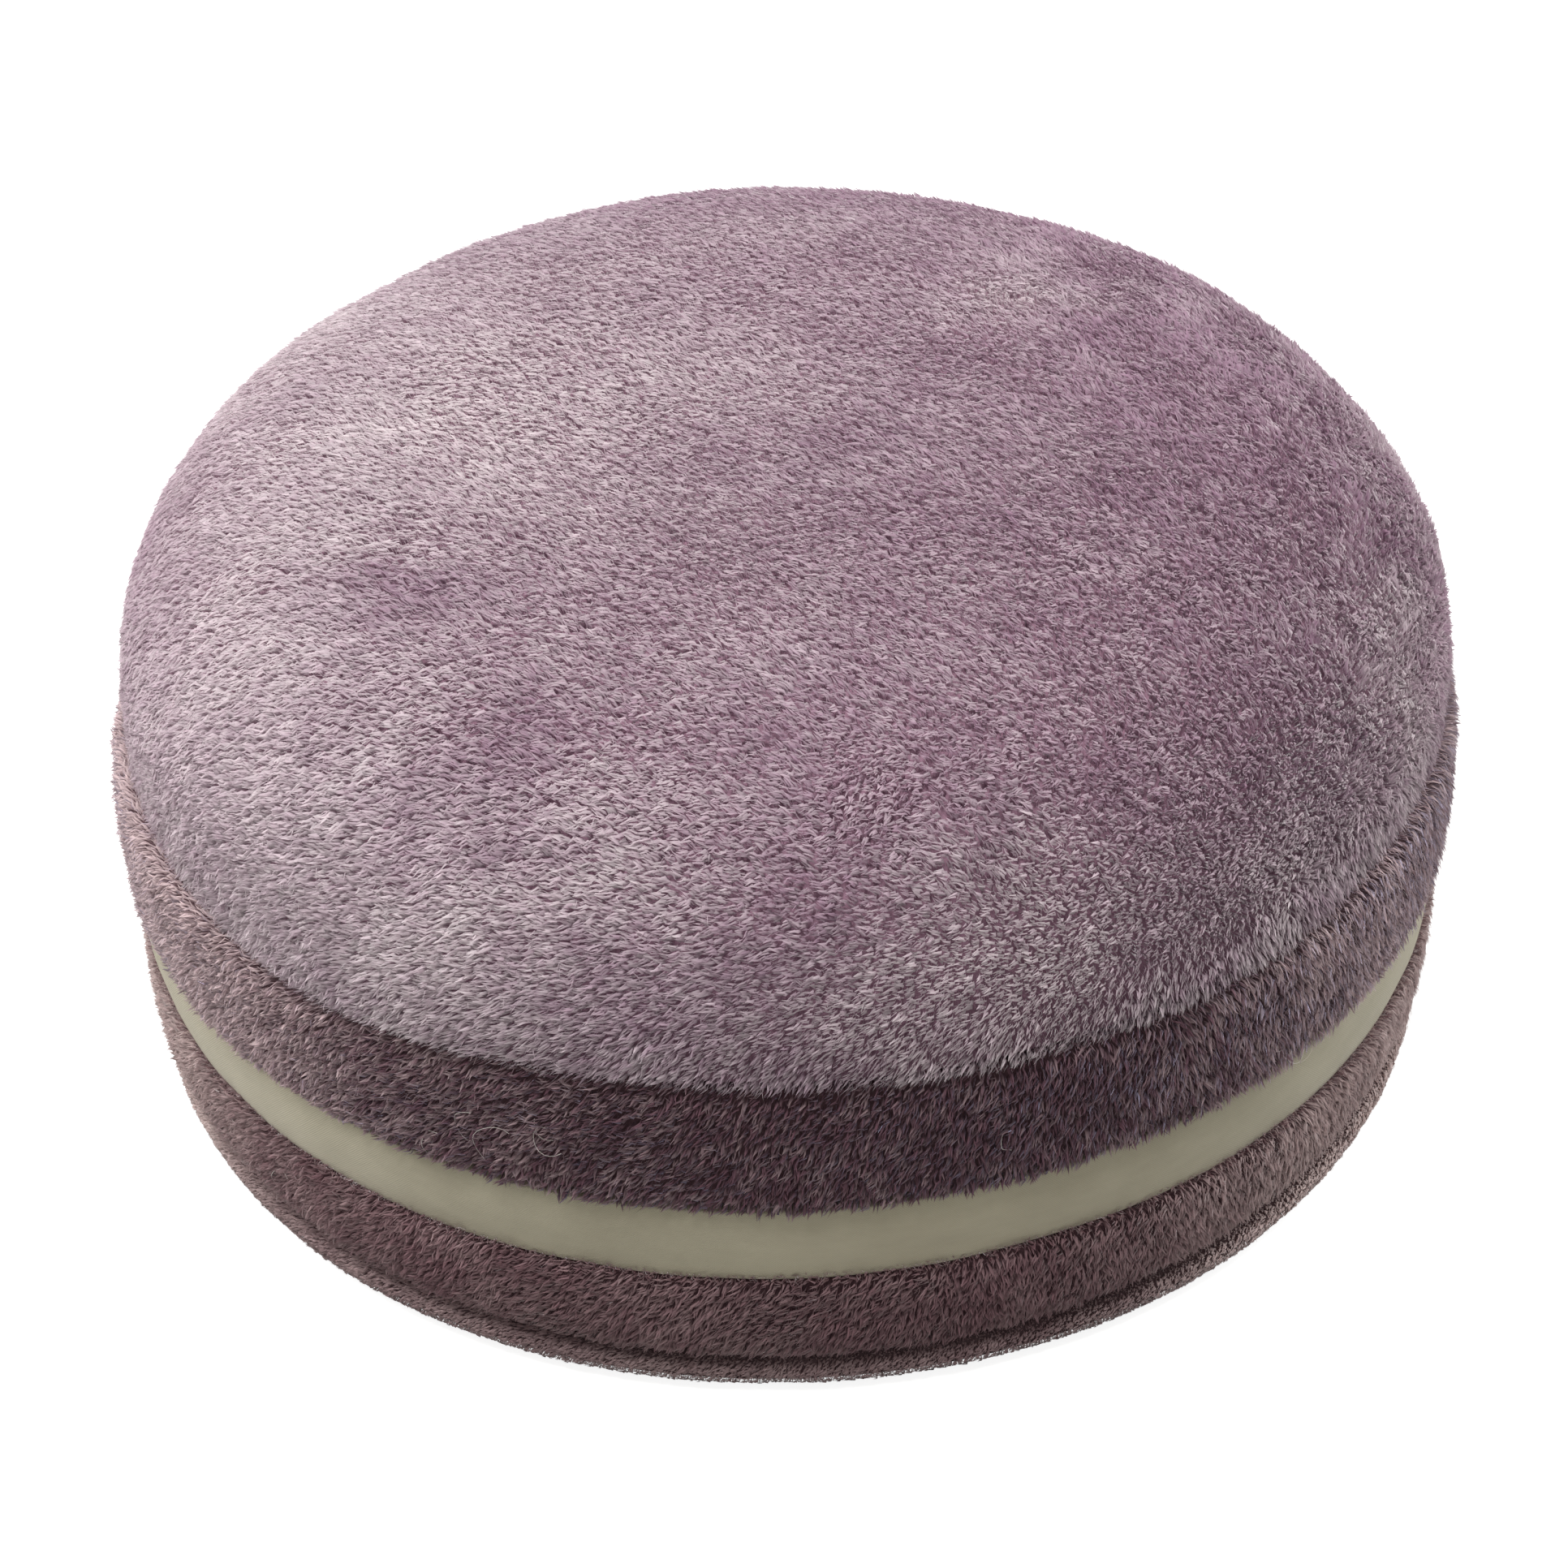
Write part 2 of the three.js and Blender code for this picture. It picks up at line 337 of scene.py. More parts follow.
def turned_piece(name, line, around, raised=None):
    """A closed piece: a line turned round the axis, from axis to axis or closed on itself."""
    line = np.asarray(line, float)
    capped = line[0, 0] < 1e-6
    rings = line[1:-1] if capped else line
    angle = np.linspace(0, 2 * np.pi, around, endpoint=False)
    radius, height = rings[:, :1] + 0 * angle, rings[:, 1:] + 0 * angle
    if raised is not None:
        radius = radius + raised(radius, height, angle)
    points = settled(radius, angle, height).reshape(-1, 3)
    step = np.arange(around)
    onward = np.roll(step, -1)
    quads = []
    for i in range(len(rings) - (1 if capped else 0)):
        upper, lower = i * around, (i + 1) % len(rings) * around
        quads += np.stack([upper + step, lower + step, lower + onward, upper + onward], axis=-1).tolist()
    if capped:
        poles = settled(np.zeros(2), np.zeros(2), line[[0, -1], 1])
        first, last = len(points), len(points) + 1
        points = np.vstack([points, poles])
        rim = (len(rings) - 1) * around
        quads += [[first, int(a), int(b)] for a, b in zip(step, onward)]
        quads += [[last, int(b), int(a)] for a, b in zip(rim + step, rim + onward)]
    mesh = bpy.data.meshes.new(name)
    mesh.from_pydata(points.tolist(), [], quads)
    mesh.validate()
    mesh.polygons.foreach_set("use_smooth", np.ones(len(mesh.polygons), bool))
    mesh.update()
    return new_piece(name, mesh)


# Pile: thousands of leaves, gathered a few at a time into tufts that bend over.
# About one leaf in seven is a fine fibre that goes its own way.
FINE_SHARE = 0.14
FINE_LEAF = dict(stray=0.55, length=1.12, width=0.30, gather=0.3)
PLAIN_LEAF = dict(stray=0.16, length=1.0, width=1.0, gather=1.0)
# How much whole tufts differ from each other, and single leaves from their tuft.
TUFTS = dict(lean=0.16, length=0.16, bend=0.20, shade=0.28)
LEAVES = dict(lean=0.07, length=0.08, bend=0.10, shade=0.34, twist=0.45)
# Limits of the lean in radians, at the root and the tip, and of the length.
ROOT_LEAN = (0.02, 1.3)
TIP_LEAN = (0.10, 1.65)
LENGTH_SHARE = (0.3, 1.5)
# Shares of a leaf below and above its bend, and how far each is drawn to the tuft's middle.
BELOW_BEND, ABOVE_BEND = 0.55, 0.45
DRAWN_BELOW, DRAWN_ABOVE = 0.45, 0.50
# How a leaf's shading mixes its own facing with the way out, and how far a tuft tilts it.
OWN_FACING, OUT_FACING = 0.65, 0.45
TUFT_TILT_SIDE, TUFT_TILT_FLOW = 0.16, 0.13
# Roots stand a little inside the cloth, and nothing reaches below this height.
ROOT_SUNK = 0.0006
LOWEST = 0.0002
# How far a leaf's edges shade as if turned away, and how near the tip its four corners count.
EDGE_SPLAY = 0.45
CORNER_TIP = np.array([0.0, 0.55, 0.55, 1.0])


def plush(outline, leaves, length, width, lay, stroke, **own):
    """What one stretch of plush has: how its tufts stand, lie and clump."""
    given = dict(lean_root=0.25, lean_tip=1.15, gather=0.80, tuft_change=0.10, rounding=0.70, run_range=None)
    given.update(own)
    return SimpleNamespace(
        outline=outline, leaves=leaves, length=length, width=width, lay=lay, stroke=stroke, **given)


def scattered(outline, count, rng, run_range):
    """Evenly spread places on the cloth, a sunflower spiral with a little disorder."""
    stray = 0.0012
    low, high = np.interp(run_range or (0, outline.run[-1]), outline.area_run, outline.area)
    order = np.arange(count) + 0.5 + rng.uniform(-0.5, 0.5, count)
    area = low + (high - low) * np.clip(order / count, 0, 1)
    run = np.interp(area, outline.area, outline.area_run)
    angle = np.arange(count) * math.pi * (3 - math.sqrt(5)) + rng.normal(0, stray, count)
    return run, np.mod(angle, 2 * np.pi)


def nearest_tuft(u, v, size):
    """The tuft each leaf belongs to: its cell, and the way from the leaf's root to its middle."""
    column, row = np.floor(u / size), np.floor(v / size)
    best = np.full(u.shape, np.inf)
    home = [column, row, np.zeros_like(u), np.zeros_like(u)]
    for dx in (-1, 0, 1):
        for dy in (-1, 0, 1):
            c, r = column + dx, row + dy
            to_u = (c + cell_value(c, r, 11)) * size - u
            to_v = (r + cell_value(c, r, 12)) * size - v
            gap = to_u ** 2 + to_v ** 2
            closer = gap < best
            best = np.where(closer, gap, best)
            for slot, value in enumerate((c, r, to_u, to_v)):
                home[slot] = np.where(closer, value, home[slot])
    return home


def flow_and_middle(pile, lay, heading, axes, to_u, to_v):
    """The way each leaf leans, and the way to its tuft's middle, both along the cloth."""
    out, around, down = axes
    level = np.zeros_like(heading)
    # The lay is a way over the ground for a disc, and an angle from straight down for a strip.
    if pile.outline.flat_disc:
        ground = np.stack([np.cos(heading), np.sin(heading), level], axis=-1)
        over = lay["over_edge"][:, None]
        flow = (1 - over) * ground + over * down
        flow = unit(flow - out * dot(flow, out))
        to_middle = np.stack([to_u, to_v, level], axis=-1)
    else:
        flow = unit(np.cos(heading)[:, None] * down + np.sin(heading)[:, None] * around)
        to_middle = to_u[:, None] * around + to_v[:, None] * down
    return flow, to_middle - out * dot(to_middle, out)


def grow(pile):
    """Root, middle and tip of every leaf, with its width, facing and colour marks."""
    rng = np.random.default_rng(pile.seed)
    outline = pile.outline
    run, angle = scattered(outline, pile.leaves, rng, pile.run_range)
    count = len(run)
    place, out, around, down = outline.frame_at(run, angle)
    u, v = outline.cloth_place(run, angle)
    column, row, to_u, to_v = nearest_tuft(u, v, pile.tuft)
    tuft_turn, tuft_lean, tuft_length, tuft_shade = (
        2 * cell_value(column, row, channel) - 1 for channel in (21, 22, 23, 24))
    lay = pile.lay(place, angle, run, u, v)

    fine = rng.uniform(0, 1, count) < FINE_SHARE
    own = {key: np.where(fine, FINE_LEAF[key], PLAIN_LEAF[key]) for key in FINE_LEAF}
    heading = lay["heading"] + lay["wild"] * tuft_turn + own["stray"] * rng.normal(0, 1, count)
    flow, to_middle = flow_and_middle(pile, lay, heading, (out, around, down), to_u, to_v)
    side = unit(np.cross(flow, out))

    lean_change = TUFTS["lean"] * tuft_lean + rng.normal(0, LEAVES["lean"], count)
    root_lean = np.clip(lay["lean"] * pile.lean_root + lean_change, *ROOT_LEAN)[:, None]
    tip_lean = np.clip(lay["lean"] * pile.lean_tip + 1.3 * lean_change, *TIP_LEAN)[:, None]
    length_change = 1 + TUFTS["length"] * tuft_length + rng.normal(0, LEAVES["length"], count)
    length = pile.length * lay["length"] * length_change * own["length"]
    shortest, longest = LENGTH_SHARE
    length = np.clip(length, shortest * pile.length, longest * pile.length)[:, None]
    width = (pile.width * rng.uniform(0.75, 1.25, count) * own["width"])[:, None]
    gather = (pile.gather * own["gather"])[:, None]

    first = unit(np.cos(root_lean) * out + np.sin(root_lean) * flow)
    last = unit(np.cos(tip_lean) * out + np.sin(tip_lean) * flow)
    bend = (TUFTS["bend"] * tuft_turn + rng.normal(0, LEAVES["bend"], count))[:, None] * side
    middle = place + BELOW_BEND * length * unit(first + bend) + DRAWN_BELOW * gather * to_middle
    tip = middle + ABOVE_BEND * length * unit(last - bend) + DRAWN_ABOVE * gather * to_middle
    twist = rng.normal(0, LEAVES["twist"], count)[:, None]
    wide = unit(np.cos(twist) * side + np.sin(twist) * out)

    facing = unit(np.cross(wide, tip - place))
    facing = facing * np.sign(dot(facing, out) + 1e-9)
    # The leaves of a tuft shade together as one rounded lock.
    off_axis = np.clip(dot(to_middle, side) / (0.5 * pile.tuft), -1.2, 1.2)
    tilt = TUFT_TILT_SIDE * tuft_shade[:, None] * side + TUFT_TILT_FLOW * tuft_length[:, None] * flow
    facing = unit(OWN_FACING * facing + OUT_FACING * out - pile.rounding * off_axis * side + tilt)

    open_nap = 1 - 0.6 * lay["closed"]
    own_shade = TUFTS["shade"] * tuft_shade + LEAVES["shade"] * rng.uniform(-1, 1, count)
    painted_nap_light = pile.stroke(place, angle, run, u, v) + pile.tuft_change * tuft_lean * open_nap
    root = place - ROOT_SUNK * out
    for points in (root, middle, tip):
        points[:, 2] = np.maximum(points[:, 2], LOWEST)
    return dict(
        root=root, middle=middle, tip=tip, wide=wide, width=width, facing=facing, u=u, v=v,
        strand=np.clip(0.5 + own_shade * open_nap, 0, 1), painted_nap_light=np.clip(painted_nap_light, 0, 1),
        closed=lay["closed"],
    )


def pile_mesh(name, leaves, rows=slice(None)):
    """One mesh of the chosen leaves: two triangles each, shaded as if round."""
    leaves = {key: values[rows] for key, values in leaves.items()}
    middle, wide, facing = leaves["middle"], leaves["wide"], leaves["facing"]
    count = len(middle)
    half = 0.5 * leaves["width"] * wide
    points = np.stack([leaves["root"], middle - half, middle + half, leaves["tip"]], axis=1)
    normals = np.stack([facing, facing - EDGE_SPLAY * wide, facing + EDGE_SPLAY * wide, facing], axis=1)
    first = np.arange(count)[:, None] * 4
    faces = np.stack([first + (0, 2, 1), first + (1, 2, 3)], axis=1)
    # Each leaf is wound the way it faces.
    winding = np.cross(points[:, 2] - points[:, 1], points[:, 3] - points[:, 1])
    turned = dot(winding, facing)[:, 0] < 0
    faces[turned] = faces[turned][:, :, ::-1]
    mesh = bpy.data.meshes.new(name)
    mesh.vertices.add(count * 4)
    mesh.vertices.foreach_set("co", points.reshape(-1))
    mesh.loops.add(count * 6)
    mesh.polygons.add(count * 2)
    mesh.loops.foreach_set("vertex_index", faces.reshape(-1))
    mesh.polygons.foreach_set("loop_start", np.arange(count * 2) * 3)
    mesh.polygons.foreach_set("use_smooth", np.ones(count * 2, bool))
    mesh.update()
    mesh.validate()
    mesh.normals_split_custom_set_from_vertices(unit(normals).reshape(-1, 3))
    # The tip mark fades in painted shade towards each root, the shade between the locks; little of it shows
    # where the nap lies closed.
    closed = leaves["closed"][:, None]
    write_mark(mesh, "tip", (closed + (1 - closed) * CORNER_TIP).reshape(-1))
    for mark in ("strand", "painted_nap_light"):
        write_mark(mesh, mark, np.repeat(leaves[mark], 4))
    write_bake_map(mesh, np.repeat(leaves["u"], 4), np.repeat(leaves["v"], 4))
    return new_piece(name, mesh)


def sector_rows(leaves, low, high):
    """The leaves whose roots lie between two angles, in degrees round from +X."""
    root = leaves["root"]
    angle = np.degrees(np.arctan2(root[:, 1], root[:, 0])) % 360
    return np.flatnonzero((angle >= low) & (angle < high))


# How the pile lies on each stretch: its heading in radians, how far tufts stray from that, its
# lean and length as shares of the stretch's own, and how closed the nap is, from 0 to 1.
TOP_HEADING = math.radians(186)
FUZZ_HEADING = math.pi - 0.3
FOOT_HEADING = math.radians(-55)
# The side pile leans left this far at the front and left, and this far on the right.
LEFT_LEAN, RIGHT_LEAN = math.radians(58), math.radians(8)


def lie_of_top(place, angle, run, u, v):
    """Combed to the left, restless on the right, turning over the edge at the rim."""
    x, y = place[:, 0], place[:, 1]
    restless = smoothstep(0.02, 0.15, x + 0.25 * y)
    heading = TOP_HEADING + 0.35 * cloudy(u, v, 0.030, 41) + 1.1 * restless * cloudy(u, v, 0.018, 43)
    for swirl in SWIRLS:
        near = 1 - smoothstep(0.2, 1.0, np.hypot(x - swirl["x"], y - swirl["y"]) / swirl["reach"])
        heading = heading + math.radians(swirl["turn"]) * near
    rim = smoothstep(TOP_RIM_RUN - 0.026, TOP_RIM_RUN, run)
    edge = smoothstep(TOP_RIM_RUN - 0.002, TOP_END, run)
    clump = restless * noise(u, v, 0.008, 48)
    front = smoothstep(0.02, 0.14, -y)
    calm = np.clip(smoothstep(-0.06, 0.12, y) + 0.7 * smoothstep(0.05, 0.16, -x), 0, 1)
    over_edge = 0.28 + 0.30 * noise(u, v, 0.02, 45) + 0.45 * smoothstep(0.06, 0.14, x)
    # At the very edge the pile is cropped, but not at the right end, and cut raggedly.
    cropped = 0.45 * (1 - smoothstep(0.07, 0.15, x))
    around = RADIUS * angle
    ragged = 0.35 * noise(around, 0 * v, 0.006, 50) + 0.2 * noise(around, 0 * v, 0.002, 51)
    lean = 1 + 0.12 * cloudy(u, v, 0.018, 47) - 0.10 * edge + 0.12 * calm - 0.22 * rim * front
    return dict(
        heading=heading,
        wild=0.42 + 0.50 * restless + 0.42 * rim * front - 0.24 * calm,
        over_edge=np.clip(rim * over_edge, 0, 0.9),
        lean=lean + 0.22 * clump,
        length=1 + 0.08 * noise(u, v, 0.02, 49) + 0.14 * clump + edge * (ragged - cropped),
        closed=np.clip(0.24 + 0.60 * calm - 0.34 * rim * front, 0, 1),
    )


def side_lay(place, u, v, channel):
    """Side pile leans left at the front and left, and hangs nearly straight on the right."""
    right = smoothstep(-0.02, 0.13, place[:, 0])
    leftward = LEFT_LEAN * (1 - right) + RIGHT_LEAN * right
    return -leftward + 0.75 * cloudy(u, v, 0.020, channel), right


def lie_of_upper(place, angle, run, u, v):
    """Ragged over the band, short under the top seam and closed there on the right."""
    turn, right = side_lay(place, u, v, 51)
    low_edge = smoothstep(UPPER_END - 0.010, UPPER_END, run)
    top_edge = 1 - smoothstep(0.001, 0.007, run)
    ragged = 0.35 * noise(u, v * 0.3, 0.014, 56) + 0.35 * noise(u, v * 0.5, 0.005, 58)
    ragged = ragged + 0.25 * noise(u, v * 0.5, 0.0022, 59)
    length = 1 + 0.22 * right + 0.16 * noise(u, v, 0.008, 57) + low_edge * (ragged + 0.05)
    return dict(
        heading=turn * (1 - 0.45 * low_edge),
        wild=0.48 - 0.22 * right,
        lean=1 + 0.20 * cloudy(u, v, 0.010, 55) - 0.05 * low_edge + 0.25 * top_edge * right,
        length=length - 0.50 * top_edge * (1 - 0.7 * right),
        closed=0.35 * smoothstep(0.12, 0.18, -place[:, 0]) + 0.6 * top_edge * right,
    )


def lie_of_lower(place, angle, run, u, v):
    """Shorter under the band, with an uneven hem."""
    turn, right = side_lay(place, u, v, 61)
    top_edge = 1 - smoothstep(0, 0.006, run)
    low_edge = smoothstep(LOWER_END - 0.010, LOWER_END, run)
    ragged = 0.25 * noise(u, v * 0.3, 0.020, 66) + 0.25 * noise(u, v * 0.5, 0.006, 68)
    ragged = ragged + 0.20 * noise(u, v * 0.5, 0.0025, 69)
    # The hem is cut shorter towards the right, where a dark gap shows below it.
    short = 0.60 * smoothstep(-0.09, -0.04, place[:, 0])
    return dict(
        heading=turn * (1 - 0.35 * top_edge - 0.3 * low_edge),
        wild=0.34 + 0.10 * right,
        lean=1.05 + 0.14 * cloudy(u, v, 0.012, 65) - 0.15 * top_edge,
        length=1 + 0.12 * noise(u, v, 0.010, 67) - 0.25 * top_edge + low_edge * (ragged - short),
        closed=0.30 + 0 * run,
    )


def lie_of_fuzz(place, angle, run, u, v):
    """Short fibres caught in the seam that stand up over the lower edge of the band."""
    return dict(
        heading=FUZZ_HEADING + 0.5 * noise(u, v, 0.006, 75),
        wild=0.7,
        lean=1.25 + 0 * run,
        length=1 + 0.45 * noise(u, v, 0.004, 76),
        closed=0.2 + 0 * run,
    )


def lie_of_foot(place, angle, run, u, v):
    """Combed along the rim, short and close near the ground and in the gap by the hem."""
    low = smoothstep(0.30 * FOOT_END, 0.60 * FOOT_END, run)
    gap = (1 - smoothstep(0.0058, 0.0082, run)) * smoothstep(-0.08, -0.03, place[:, 0])
    return dict(
        heading=FOOT_HEADING - 0.7 * low + 0.3 * cloudy(u, v, 0.015, 71),
        wild=0.14 - 0.08 * low,
        lean=1.30 + 0.15 * low,
        length=0.92 - 0.34 * low - 0.70 * gap + 0.1 * noise(u, v, 0.012, 77),
        # In the gap under the hem the nap lies open, so more painted root shade darkens it.
        closed=0.95 * (1 - gap),
    )


# How pale the nap shows on each stretch, from 0, deep, to 1, pale: painted sheen of the brushed nap,
# with painted light and painted shade.
def top_painted_nap_light(place, angle, run, u, v):
    """Paler to the left, deeper at the far left and the back, in soft uneven patches: painted sheen of the
    nap, painted light from the left, and painted shade where the crown turns away at the far left and the
    back.
    """
    x, y = place[:, 0], place[:, 1]
    shade = 0.42 - 2.0 * np.clip(x, -0.13, 0.12) - 0.2 * smoothstep(0.15, 0.19, -x)
    shade = shade + 0.20 * smoothstep(0.15, 0.19, x) - 0.28 * smoothstep(0.08, 0.17, y)
    shade = shade + 0.12 * cloudy(u, 1.6 * v, 0.045, 31) + 0.13 * cloudy(u, v, 0.012, 33)
    # The pile opens over the front rim and shows its pale ends, which are partly painted light on the front
    # slope.
    rim = smoothstep(TOP_RIM_RUN - 0.050, TOP_RIM_RUN - 0.010, run) * smoothstep(0.05, 0.14, -y)
    shade = shade + 0.36 * rim * smoothstep(-0.06, 0.08, x)
    # On the right it stands in larger clumps.
    shade = shade + 0.20 * smoothstep(0.02, 0.12, x) * cloudy(u, v, 0.0075, 39)
    # Each area has an edge as uneven as a hand leaves it.
    x = x + 0.012 * noise(u, v, 0.024, 34) + 0.006 * noise(u, v, 0.009, 35)
    y = y + 0.012 * noise(u, v, 0.024, 36) + 0.006 * noise(u, v, 0.009, 37)
    for area in NAP_AREAS:
        turn = math.radians(area["heading"])
        from_x, from_y = x - area["x"], y - area["y"]
        along = (from_x * math.cos(turn) + from_y * math.sin(turn)) / area["long"]
        across = (from_y * math.cos(turn) - from_x * math.sin(turn)) / area["wide"]
        shade = shade + area["paler"] * (1 - smoothstep(0.1, 1.4, np.hypot(along, across)))
    return shade


def upper_painted_nap_light(place, angle, run, u, v):
    """Deep at the front, paler at the ends: painted shade at the front, painted light and sheen at the ends.
    """
    x = place[:, 0]
    shade = 0.10 + 0.20 * smoothstep(0.01, 0.07, -x) + 0.78 * smoothstep(0.08, 0.19, -x)
    shade = shade + 0.58 * smoothstep(0.06, 0.17, x)
    return shade + 0.18 * cloudy(u, v, 0.020, 81) + 0.20 * cloudy(u, v, 0.006, 83)


def lower_painted_nap_light(place, angle, run, u, v):
    """Deep at the front, paler at the ends: painted shade at the front, painted light and sheen at the ends.
    """
    x = place[:, 0]
    shade = 0.14 + 0.80 * smoothstep(0.13, 0.19, -x) + 0.62 * smoothstep(0.07, 0.17, x)
    return shade + 0.12 * cloudy(u, v, 0.024, 85) + 0.14 * cloudy(u, v, 0.008, 87)


def stroked_fuzz(place, angle, run, u, v):
    return 0.05 + 0.15 * cloudy(u, v, 0.020, 89)


# The foot is painted paler than the lower strip: painted light on a rim that lies in shade by the floor.
def foot_painted_nap_light(*where):
    return 0.22 + lower_painted_nap_light(*where)


# Each stretch of pile: its line, leaves, length, width, lie and shade.
PILES = dict(
    top=plush(TOP_FACE, 264000, 0.0046, 0.00078, lie_of_top, top_painted_nap_light, tuft=0.0018,
              gather=0.66, tuft_change=0.25, seed=11),
    upper=plush(UPPER_FACE, 80000, 0.0044, 0.00064, lie_of_upper, upper_painted_nap_light, tuft=0.0016,
                tuft_change=0.38, run_range=(0.0006, UPPER_END - 0.001), seed=12),
    lower=plush(LOWER_FACE, 66000, 0.0046, 0.00066, lie_of_lower, lower_painted_nap_light, tuft=0.0016,
                rounding=0.45, run_range=(0.0006, LOWER_END - 0.0060), seed=13),
    fuzz=plush(BAND_FACE, 5000, 0.0032, 0.00030, lie_of_fuzz, stroked_fuzz, tuft=0.0011,
               gather=0.4, lean_root=0.9, run_range=(BAND_END - 0.0074, BAND_END - 0.0050), seed=16),
    foot=plush(FOOT_FACE, 38000, 0.0032, 0.00064, lie_of_foot, foot_painted_nap_light, tuft=0.0014,
               gather=0.4, tuft_change=0.05, rounding=0.2,
               run_range=(0.0050, FOOT_END - 0.0080), seed=14),
)

# Single long fibres that have come loose: degrees round, height, how far out, length.
LOOSE_FIBRES = [
    (246, 0.088, 0.0030, 0.016), (249, 0.084, 0.0036, 0.021),
    (251, 0.090, 0.0028, 0.013), (253, 0.081, 0.0034, 0.017),
    (243, 0.078, 0.0030, 0.012), (312, 0.071, 0.0030, 0.018),
    (314, 0.069, 0.0032, 0.014), (311, 0.073, 0.0034, 0.011),
    (286, 0.077, 0.0032, 0.010), (226, 0.030, 0.0032, 0.014),
    (330, 0.085, 0.0030, 0.013), (20, 0.084, 0.0030, 0.015),
    (98, 0.030, 0.0030, 0.013), (140, 0.080, 0.0030, 0.016),
]
# The radius they lie over, how thick they are and how far they bow in and out.
FIBRE_RADIUS = 0.1962
FIBRE_WIDTH = 0.00020
FIBRE_BOW = 0.0006


def loose_fibres(name):
    """Thin curled ribbons that lie over the side pile."""
    rng = np.random.default_rng(15)
    steps = 12
    points, faces = [], []
    for degrees, low, out, length in LOOSE_FIBRES:
        share = np.linspace(0, 1, steps)
        curl = rng.uniform(2.2, 4.0) * rng.choice([-1, 1])
        turn = rng.uniform(-1.2, 1.2) + math.radians(200) + curl * share
        pace = length / (steps - 1)
        along = np.concatenate([[0], np.cumsum(pace * np.cos(turn[:-1]))])
        rise = np.concatenate([[0], np.cumsum(pace * np.sin(turn[:-1]))])
        bow = FIBRE_BOW * np.sin(2.5 * np.pi * share + rng.uniform(0, 6))
        radius = FIBRE_RADIUS + out + bow
        angle = math.radians(degrees) + along / RADIUS
        height = low + rise
        for side in (-0.5, 0.5):
            shift = side * FIBRE_WIDTH * (1 - 0.6 * share)
            points.append(settled(
                radius, angle - shift * np.sin(turn) / RADIUS, height + shift * np.cos(turn)))
        first = (len(points) - 2) * steps
        faces += [(i, i + 1, i + 1 + steps, i + steps) for i in range(first, first + steps - 1)]
    mesh = bpy.data.meshes.new(name)
    mesh.from_pydata(np.concatenate(points).tolist(), [], faces)
    for mark, value in (("tip", 1.0), ("strand", 0.9), ("painted_nap_light", 1.0)):
        write_mark(mesh, mark, np.full(len(mesh.vertices), value))
    return new_piece(name, mesh)


# The cream band: soft creases along it, seen only on its outer face.
BAND_OUTSIDE = 0.194


def band_creases(radius, height, angle):
    """How far the cream cloth stands out."""
    along = RADIUS * np.mod(angle - SIDE_JOIN, 2 * np.pi) + 0 * height
    creases = 0.00022 * noise(along, height, 0.016, 91)
    creases = creases + 0.00016 * noise(along / 3, height, 0.006, 93)
    return np.where(radius > BAND_OUTSIDE, creases, 0)


def put_cloth_place(piece):
    """Marks each point of the band with its place on the cloth, for the weave."""
    points = np.empty(len(piece.data.vertices) * 3, np.float32)
    piece.data.vertices.foreach_get("co", points)
    points = points.reshape(-1, 3)
    around = RADIUS * np.arctan2(points[:, 1], points[:, 0])
    place = np.stack([around, points[:, 2], np.zeros(len(points))], axis=-1)
    mark = piece.data.attributes.new("cloth_place", "FLOAT_VECTOR", "POINT")
    mark.data.foreach_set("vector", place.astype(np.float32).reshape(-1))


WHITE = (1, 1, 1, 1)


# Node trees.
def set_inputs(node, inputs):
    """Gives each input a link where its source is a socket, and a value where it isn't."""
    for name, source in inputs.items():
        target = node.inputs[name]
        if isinstance(source, bpy.types.NodeSocket):
            node.id_data.links.new(source, target)
        else:
            target.default_value = source


def add_node(tree, kind, inputs=None, **settings):
    node = tree.nodes.new(kind)
    for key, value in settings.items():
        setattr(node, key, value)
    set_inputs(node, inputs or {})
    return node


def mix_colours(tree, share, first, second, blend="MIX"):
    # A mix has its two colours at inputs 6 and 7 and the mixed one at output 2.
    mix = add_node(tree, "ShaderNodeMix", data_type="RGBA", blend_type=blend,
                   inputs={0: share, 6: first, 7: second})
    return mix.outputs[2]


def calculate(tree, operation, *values):
    return add_node(tree, "ShaderNodeMath", dict(enumerate(values)), operation=operation).outputs[0]


def new_group(name, colours=(), floats=(), results=()):
    """A group of nodes with its inputs and results, and the nodes that hold them."""
    group = bpy.data.node_groups.new(name, "ShaderNodeTree")
    add_socket = group.interface.new_socket
    for socket in colours:
        add_socket(name=socket, in_out="INPUT", socket_type="NodeSocketColor")
    for socket, value in floats:
        add_socket(name=socket, in_out="INPUT", socket_type="NodeSocketFloat").default_value = value
    for socket, kind in results:
        add_socket(name=socket, in_out="OUTPUT", socket_type="NodeSocket" + kind)
    return group, group.nodes.new("NodeGroupInput").outputs, group.nodes.new("NodeGroupOutput")


